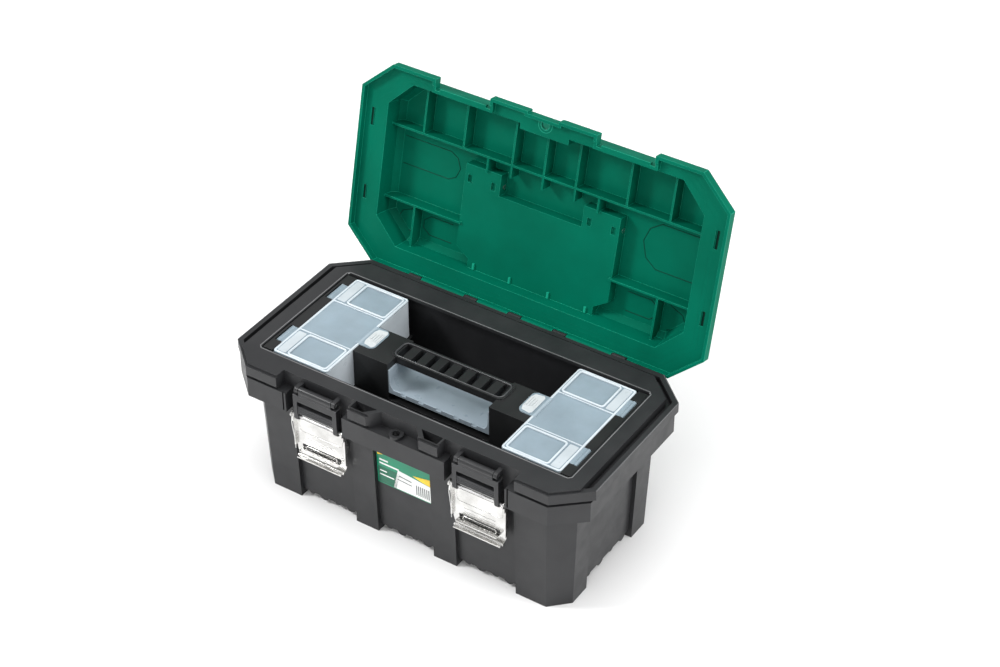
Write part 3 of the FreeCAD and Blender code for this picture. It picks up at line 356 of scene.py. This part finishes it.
def slab(name, outline, low, high, material, slot, body, bevel=0.3, facing="Z"):
    """A rounded-edge plate: an outline pushed from low to high along Z, or along Y."""
    mesh = bpy.data.meshes.new(name)
    shape = bmesh.new()

    def spot(point, level):
        return (point[0], level, point[1]) if facing == "Y" else (point[0], point[1], level)

    bottom = [shape.verts.new(spot(point, low)) for point in outline]
    top = [shape.verts.new(spot(point, high)) for point in outline]
    shape.faces.new(bottom[::-1])
    shape.faces.new(top)
    for i in range(len(outline)):
        j = (i + 1) % len(outline)
        shape.faces.new((bottom[i], bottom[j], top[j], top[i]))
    bmesh.ops.recalc_face_normals(shape, faces=shape.faces)
    bmesh.ops.bevel(
        shape,
        geom=shape.edges[:],
        offset=bevel,
        segments=2,
        profile=0.6,
        affect="EDGES",
        clamp_overlap=True,
    )
    shape.to_mesh(mesh)
    shape.free()
    thing = bpy.data.objects.new(name, mesh)
    bpy.context.collection.objects.link(thing)
    return settle(thing, material, body)


def oblong(x0, x1, y0, y1, radius=2.0, steps=3):
    """Corner-rounded rectangle, as a list of flat points."""
    points = []
    for cx, cy, start in (
        (x1 - radius, y1 - radius, 0),
        (x0 + radius, y1 - radius, 90),
        (x0 + radius, y0 + radius, 180),
        (x1 - radius, y0 + radius, 270),
    ):
        for k in range(steps + 1):
            angle = math.radians(start + 90 * k / steps)
            points.append((cx + radius * math.cos(angle), cy + radius * math.sin(angle)))
    return points


def cut_corners(half_x, front, rear, cut_x, cut_y):
    """Rectangle about x = 0 with its corners cut off, as a list of flat points."""
    right = [
        (half_x - cut_x, front),
        (half_x, front + cut_y),
        (half_x, rear - cut_y),
        (half_x - cut_x, rear),
    ]
    return right + [(-x, y) for x, y in reversed(right)]


def lift(points, z):
    """Flat points at a height."""
    return [(x, y, z) for x, y in points]


# ---------------------------------------------------------------- lid details
def lid_details():
    """Moulding lines inside the crown, drawn darker as painted shade; the brim's beads; and the
    ribbed panels on top. The step and mouth beads, padlock rings, gussets and panel outlines carry
    a painted highlight in a lighter green.
    """
    line = 0.55
    under = CEILING + 0.1
    left_loop = [
        (-166, -22.5),
        (-112, -22.5),
        (-104, -18),
        (-100, -8),
        (-104, 2),
        (-112, 6.5),
        (-166, 6.5),
    ]
    # The moulding lines are drawn in the darker green as painted shade.
    tube("lid_line_left", lift(left_loop, under), line, green_line_shade, "lid", "lid")
    right_loop = [
        (171, -26),
        (124, -26),
        (112, -18),
        (107, -4),
        (112, 12),
        (124, 20.5),
        (171, 20.5),
    ]
    tube("lid_line_right", lift(right_loop, under), line, green_line_shade, "lid", "lid")
    rear_loop = ((100, 52), (126, 52), (134, 58), (134, 66), (126, 72), (100, 72))
    corner_loop = ((146, 50), (160, 56), (164, 64), (158, 72), (146, 76))
    for side, sign in (("left", -1), ("right", 1)):
        loop = [(sign * x, y) for x, y in rear_loop]
        tube(f"lid_line_rear_{side}", lift(loop, under), line, green_line_shade, "lid", "lid")
        loop = [(sign * x, y) for x, y in corner_loop]
        tube(f"lid_line_corner_{side}", lift(loop, under), line, green_line_shade, "lid", "lid")

    # Both beads stop short of the padlock scoop at the front.
    scoop = 27
    step = cut_corners(174.6, -86.6, 84.6, 26.4, 26.4)
    step = [(scoop, -86.6), *step, (-scoop, -86.6)]
    # The step and mouth beads are painted in the lighter green as a highlight.
    tube("lid_step", lift(step, DECK + 16), 0.8, green_edge_highlight, "lid", "lid")
    mouth = cut_corners(175.6, -87.6, 85.6, 26.6, 26.6)
    mouth = [(scoop, -87.6), *mouth, (-scoop, -87.6)]
    tube("lid_mouth_bead", lift(mouth, DECK + 1.7), 0.9, green_edge_highlight, "lid", "lid")

    brim_line = DECK + 0.6
    brim_front = -93
    band_end = 124
    for ring, inset in (("outer", 0), ("inner", 4.5)):
        front = brim_front + inset
        band = cut_corners(190 - inset, front, 98 - inset, 30, 27)
        band = [(band_end, front), *band, (-band_end, front)]
        tube(f"lid_brim_line_{ring}", lift(band, brim_line), 0.5, green_lid, "lid", "lid")
    padlock_y = -92.5
    # The padlock rings are painted in the lighter green as a highlight.
    for ring, radius in (("outer", 7.5), ("inner", 4.9)):
        loop = oblong(-radius, radius, padlock_y - radius, padlock_y + radius, radius, 6)
        loop = lift(loop, brim_line)
        tube(f"padlock_ring_{ring}", loop, 0.5, green_edge_highlight, "lid", "lid", True)

    for i, x in enumerate((-64, -22, 22, 64)):
        gusset = [(x - 1.1, 77), (x + 1.1, 77), (x + 1.1, 83.5), (x - 1.1, 83.5)]
        # Each gusset is painted in the lighter green as a highlight.
        slab(f"lid_gusset_{i}", gusset, 167, 179, green_edge_highlight, "lid", "lid")
        notch = [(x + 1.6, 76.5), (x + 6.5, 76.5), (x + 6.5, 82), (x + 1.6, 82)]
        slab(f"lid_notch_{i}", notch, 173, 179.5, green_shadow, "lid", "lid")
    low, high = DECK + 1.2, DECK + 1.8
    for i, x in enumerate((-191, 191)):
        for place, y0, y1 in (("front", -51, -32), ("rear", 31, 46)):
            patch = [(x - 2.4, y0), (x + 2.4, y0), (x + 2.4, y1), (x - 2.4, y1)]
            slab(f"lid_slot_{place}_{i}", patch, low, high, green_shadow, "lid", "lid", 0.1)

    outside = {
        "front": oblong(-70, 70, -76, -62, 4),
        "rear": oblong(-120, 120, 66, 76, 4),
        "left": oblong(-164, -96, -58, 56, 8),
        "right": oblong(96, 164, -58, 56, 8),
    }
    low, high = CROWN_TOP - 1, CROWN_TOP + 0.7
    for place, outline in outside.items():
        slab(f"lid_panel_{place}", outline, low, high, green_lid, "lid", "lid", 0.5)
        # Each panel's outline is painted in the lighter green as a highlight.
        border = lift(outline, CROWN_TOP + 0.4)
        tube(f"lid_panel_line_{place}", border, 0.8, green_edge_highlight, "lid", "lid", True)
    low, high = CROWN_TOP, CROWN_TOP + 1.4
    first_rib, rib_pitch = 108, 11
    for side, sign in (("left", -1), ("right", 1)):
        for k in range(5):
            x = sign * (first_rib + rib_pitch * k)
            bar = oblong(x - 2, x + 2, -44, 42, 1.9)
            slab(f"lid_panel_rib_{side}_{k}", bar, low, high, green_lid, "lid", "lid", 0.5)


def handle_details():
    """Ribs across the carry handle's grip, on both faces."""
    rib_count, rib_pitch = 13, 9
    first_rib = -54
    stands = 0.5
    for k in range(rib_count):
        x = first_rib + rib_pitch * k
        rib = oblong(x - 1.6, x + 1.6, 42, 58, 1.5)
        for face, z in (("upper", 182.5), ("lower", 172.5)):
            name = f"grip_rib_{face}_{k}"
            slab(name, rib, z - stands, z + stands, black_handle, "handle", "carry_handle", 0.3)


# ---------------------------------------------------------------- tub details
def tub_details():
    """The bead round the tub's mouth in a pale grey painted highlight, and a lighter painted
    highlight line along the edge of its rim.
    """
    mouth = cut_corners(173.4, -71.9, 71.9, 3, 3)
    # The mouth bead is painted pale grey as a highlight.
    tube("mouth_bead", lift(mouth, DECK - 0.85), 1.0, mouth_highlight, "tub", "base", True)
    # A line along the rim's outer edge in the lighter grey, painted as a highlight.
    rim = [(x, y, DECK - 2.7) for x, y in cut_corners(199.2, -99.1, 103.0, 31.7, 28.2)]
    behind_latches = [point for point in rim if point[1] > -90]
    right = [point for point in behind_latches if point[0] > 0]
    tube("rim_edge_right", right, 0.5, black_tub_highlight, "tub", "base")
    left = [point for point in behind_latches if point[0] < 0]
    tube("rim_edge_left", left, 0.5, black_tub_highlight, "tub", "base")


def label_art():
    """A plain printed label: fields and bars only, with no lettering."""
    marks = {
        "field_dark": ([(-30, 84), (-4, 84), (-10, 64), (-30, 64)], label_green_dark, 1),
        "corner_yellow": ([(-30, 107), (-30, 98), (-24, 100), (-17, 107)], label_yellow, 1),
        "bar_top": ([(-28, 94), (-18, 94), (-18, 92), (-28, 92)], label_white, 1),
        "bar_upper": ([(-28, 89.5), (-6, 89.5), (-6, 87.5), (-28, 87.5)], label_white, 1),
        "bar_middle": ([(-28, 80), (-20, 80), (-20, 78.6), (-28, 78.6)], label_white, 2),
        "bar_lower": ([(-28, 75), (-12, 75), (-12, 73.6), (-28, 73.6)], label_white, 2),
        "panel_white": ([(-7, 88), (30, 84), (30, 64), (-13, 64)], label_white, 1),
        "flash_orange": ([(10, 89), (30, 93), (30, 84.6), (20, 86)], label_yellow, 2),
        "rule_upper": ([(-6, 82), (8, 80.6), (8, 79.4), (-6, 80.8)], label_ink, 2),
        "rule_lower": ([(-8, 77), (8, 76), (8, 75), (-8, 76)], label_ink, 2),
    }
    for k in range(7):
        x = 13 + 2.3 * k
        marks[f"stripe_{k}"] = ([(x, 79), (x + 1.1, 79), (x + 1.1, 67), (x, 67)], label_ink, 2)
    # The marks are drawn upright, then laid on the label, which leans with the tub's wall.
    lean = math.tan(math.radians(2.2))
    label_y, label_z = -82.3, 82
    ink, embedded = 0.12, 0.1
    for name, (outline, material, layer) in marks.items():
        piece = slab(f"label_{name}", outline, -1.0, 0.0, material, "label", "base", 0.02, "Y")
        for vertex in piece.data.vertices:
            face = label_y - (vertex.co.z / MM - label_z) * lean
            depth = ink * layer if vertex.co.y < -0.0005 else -embedded
            vertex.co.y = (face - depth) * MM


def latch_details():
    """The plate's rolled lip, pressed lines and slot, and the spring wire beside it."""
    pressed = -90.5
    spring_line = ((-94.5, 112), (-95.6, 104), (-94, 92), (-92.2, 80), (-92, 70))
    for side, sign in (("left", -1), ("right", 1)):
        middle = sign * 89.5
        body = f"latch_plate_{side}"
        steel = (plated_steel, "latch_steel", body)
        lip = [(middle - 27, -91.9, 64), (middle + 27, -91.9, 64)]
        tube(f"latch_lip_{side}", lip, 1.6, *steel)
        slot = [(x, -90.7, z) for x, z in oblong(middle - 18, middle + 18, 70.4, 76.4, 1.6)]
        tube(f"latch_slot_edge_{side}", slot, 0.6, *steel, closed=True)
        for k, z in enumerate((82.5, 86.5)):
            ridge = [(middle - 17, pressed, z), (middle + 17, pressed, z)]
            tube(f"latch_ridge_{side}_{k}", ridge, 0.35, *steel)
        panel = [(x, pressed, z) for x, z in oblong(middle - 25, middle + 25, 93, 108, 4)]
        tube(f"latch_panel_{side}", panel, 0.35, *steel, closed=True)
        spring = [(middle - 30.15, y, z) for y, z in spring_line]
        tube(f"latch_spring_{side}", spring, 0.45, pin_steel, "pin_steel", body)


# ---------------------------------------------------------------- tray details
def tray_details():
    """The compartment flaps' frames, dividers and tabs, and the bead round the tray's grip;
    frames, dividers and grip bead are drawn in lighter copies of their plastics as painted
    highlights.
    """
    for side, sign in (("left", -1), ("right", 1)):
        flap = ("clear_lid", f"bin_lid_{side}")
        for k in range(4):
            x = sign * (84 + 2.6 * k)
            rib = [
                (x - 0.7, -7.5 + k),
                (x + 0.7, -7.5 + k),
                (x + 0.7, 7.5 - k),
                (x - 0.7, 7.5 - k),
            ]
            slab(f"tab_ridge_{side}_{k}", rib, 155.6, 156.4, tab_plastic, *flap, 0.25)
        # Dividers, window frames and outlines are painted in the paler flap plastic as highlights.
        for k, y in enumerate((-27, 27)):
            path = [(sign * 99, y, 154.9), (sign * 158, y, 154.9)]
            tube(f"flap_divider_{side}_{k}", path, 0.7, flap_edge_highlight, *flap)
        for k, (y0, y1) in enumerate(((-64.5, -30), (30, 64.5))):
            x0, x1 = sorted((sign * 147.5, sign * 157))
            strip = oblong(x0, x1, y0, y1, 1.5)
            slab(f"flap_strip_{side}_{k}", strip, 154.5, 155.0, flap_frost, *flap, 0.2)
            x0, x1 = sorted((sign * 100.6, sign * 145))
            window = lift(oblong(x0, x1, y0, y1, 3), 154.8)
            tube(f"flap_window_{side}_{k}", window, 1.15, flap_edge_highlight, *flap, True)
        x0, x1 = sorted((sign * 98.2, sign * 158.8))
        outline = lift(oblong(x0, x1, -66.4, 66.4, 2), 154.3)
        tube(f"flap_outline_{side}", outline, 1.3, flap_edge_highlight, *flap, True)
        x0, x1 = sorted((sign * 82.2, sign * 95))
        pad = [
            (x0, -8),
            (x0 + 2, -13),
            (x1 - 2, -14.5),
            (x1, -12),
            (x1, 11),
            (x1 - 2, 13.5),
            (x0 + 2, 12),
            (x0, 7),
        ]
        slab(f"tab_pad_{side}", pad, 155.2, 155.8, tab_plastic, *flap, 0.25)
    # The bead round the grip is painted in the lighter black as a highlight.
    grip = lift(oblong(-60.5, 60.5, -10.8, 10.8, 5), DECK - 0.6)
    tube("grip_bead", grip, 0.8, black_edge_highlight, "tray", "tray", True)


lid_details()
handle_details()
tub_details()
label_art()
latch_details()
tray_details()


# ---------------------------------------------------------------- stage, light and camera
def make_stage():
    bpy.ops.mesh.primitive_plane_add(size=30, location=(0, 0, 0))
    floor = bpy.context.object
    floor.name = "floor"
    material, tree, shader = new_material("pale_floor")
    colour = ramp(tree, noise(tree, 3, 3), (0.86, 0.86, 0.86), (0.88, 0.88, 0.88))
    tree.links.new(colour, shader.inputs["Base Color"])
    shader.inputs["Roughness"].default_value = 0.7
    floor.data.materials.append(material)


def area_light(name, place, target, size, power):
    data = bpy.data.lights.new(name, "AREA")
    data.shape = "RECTANGLE"
    data.size, data.size_y = size
    data.energy = power
    light = bpy.data.objects.new(name, data)
    bpy.context.collection.objects.link(light)
    light.location = place
    aim = Vector(target) - Vector(place)
    light.rotation_euler = aim.to_track_quat("-Z", "Y").to_euler()


def make_light():
    world = bpy.data.worlds.new("studio")
    bpy.context.scene.world = world
    world.use_nodes = True
    background = world.node_tree.nodes["Background"]
    background.inputs["Color"].default_value = (1, 1, 1, 1)
    background.inputs["Strength"].default_value = 0.62
    area_light("top_soft", (0.2, 0.1, 2.2), (0, 0, 0.1), (1.8, 1.4), 26)
    area_light("left_key", (-1.5, -1.0, 1.7), (0, 0, 0.15), (0.5, 0.5), 36)
    area_light("right_soft", (2.2, 0.2, 1.1), (0, 0, 0.15), (1.2, 1.2), 36)
    area_light("front_fill", (0.3, -2.3, 1.2), (0, 0, 0.1), (1.4, 1.0), 12)


def make_camera():
    """The photograph's viewpoint: above, in front and to the right."""
    data = bpy.data.cameras.new("camera")
    data.lens = 82.5
    data.sensor_width = 36
    data.clip_start = 0.05
    data.clip_end = 50
    camera = bpy.data.objects.new("camera", data)
    bpy.context.collection.objects.link(camera)
    camera.location = (0.9528, -1.3763, 1.4895)
    right = Vector((0.8368, 0.5475, 0)).normalized()
    back = Vector((0.4335, -0.6625, 0.6109)).normalized()
    up = back.cross(right).normalized()
    turn = Matrix((right, up, back)).transposed()
    camera.rotation_euler = turn.to_euler()
    bpy.context.scene.camera = camera
    bpy.context.scene.view_settings.view_transform = "Standard"


make_stage()
make_light()
make_camera()
